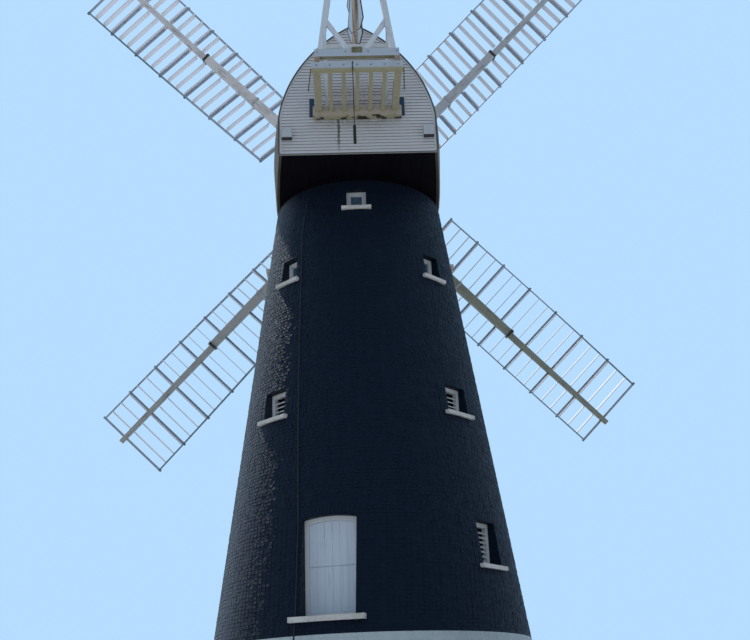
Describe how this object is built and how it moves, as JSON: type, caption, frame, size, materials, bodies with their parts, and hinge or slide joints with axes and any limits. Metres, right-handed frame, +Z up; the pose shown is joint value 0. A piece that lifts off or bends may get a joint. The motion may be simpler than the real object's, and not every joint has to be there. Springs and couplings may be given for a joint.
{
  "type": "traditional windmill",
  "caption": "Tapered brick tower mill with a boat-shaped turning cap, four shuttered sails on an inclined windshaft, and a fan stage behind the cap.",
  "frame": {"origin": "centre of the tower's foot, on the ground", "axes": "+Z up, -Y out through the sails, +Y out through the fan stage, +X to the left as seen from behind the fan"},
  "size_m": [15.361, 11.4979, 22.9641],
  "materials": {
    "floor_brick": "rough",
    "white_brick": "lime washed brick",
    "tarred_brick": "tarred brick",
    "floor_timber": "sawn",
    "white_joinery": "painted",
    "window_glass": "clear",
    "white_sill": "painted",
    "cap_boards": "painted boards",
    "dark_timber": "tarred",
    "stage_timber": "painted",
    "iron": "painted",
    "rope": "tarred hemp",
    "sail_timber": "weathered paint",
    "shutter_boards": "painted",
    "white_iron": "painted",
    "fan_boards": "painted"
  },
  "bodies": {
    "tower": {"ground_floor": "floor_brick", "base_wall_odd_bays": "white_brick", "base_wall_even_bays": "white_brick", "tower_wall_odd_bays": "tarred_brick", "tower_wall_even_bays": "tarred_brick", "upper_floors": "floor_timber", "louvred_windows": "white_joinery", "casement_frames": "white_joinery", "casement_glass": "window_glass", "window_sills": "white_sill", "loading_door_frame": "white_joinery", "loading_door_leaves": "white_joinery", "loading_door_sill": "white_sill", "entrance_door_frame": "white_joinery", "entrance_door": "white_joinery", "curb_ring": "floor_timber"},
    "cap": {"cap_left_side": "cap_boards", "cap_right_side": "cap_boards", "cap_rear_gable": "cap_boards", "cap_front_gable": "cap_boards", "rear_bargeboards": "dark_timber", "cap_soffit": "dark_timber", "cap_cross_beams": "floor_timber", "cap_sheers": "white_joinery", "neck_bearing_frame": "floor_timber", "tail_bearing_frame": "floor_timber", "stage_backboard": "dark_timber", "stage_beams": "stage_timber", "stage_joists": "stage_timber", "stage_posts": "stage_timber", "stage_top_beam": "stage_timber", "fan_legs": "stage_timber", "fan_leg_braces": "stage_timber", "fan_drive_saddle": "iron", "stage_stay_rods": "iron", "brake_rope": "rope", "brake_rope_toggle": "rope"},
    "sails": {"windshaft": "iron", "canister": "iron", "stock_front": "sail_timber", "stock_rear": "sail_timber", "stock_clamps": "iron", "striking_spider": "iron", "striking_links": "iron", "shutter_rods": "white_iron", "sail_frame_1": "sail_timber", "sail_shutters_1": "shutter_boards", "sail_frame_2": "sail_timber", "sail_shutters_2": "shutter_boards", "sail_frame_3": "sail_timber", "sail_shutters_3": "shutter_boards", "sail_frame_4": "sail_timber", "sail_shutters_4": "shutter_boards"},
    "fan": {"fan_spindle": "iron", "fan_vanes": "fan_boards"}
  },
  "joints": [
    {"name": "cap_turn", "type": "hinge", "parent": "tower", "child": "cap", "pos_m": [0, 0, 13.2], "axis": [0, 0, 1], "continuous": true},
    {"name": "sail_turn", "type": "hinge", "parent": "cap", "child": "sails", "pos_m": [0, -3.408, 15.455], "axis": [0, -0.974, 0.2267], "continuous": true},
    {"name": "fan_turn", "type": "hinge", "parent": "cap", "child": "fan", "pos_m": [0, 4.805, 16.45], "axis": [1, 0, 0], "continuous": true}
  ]
}
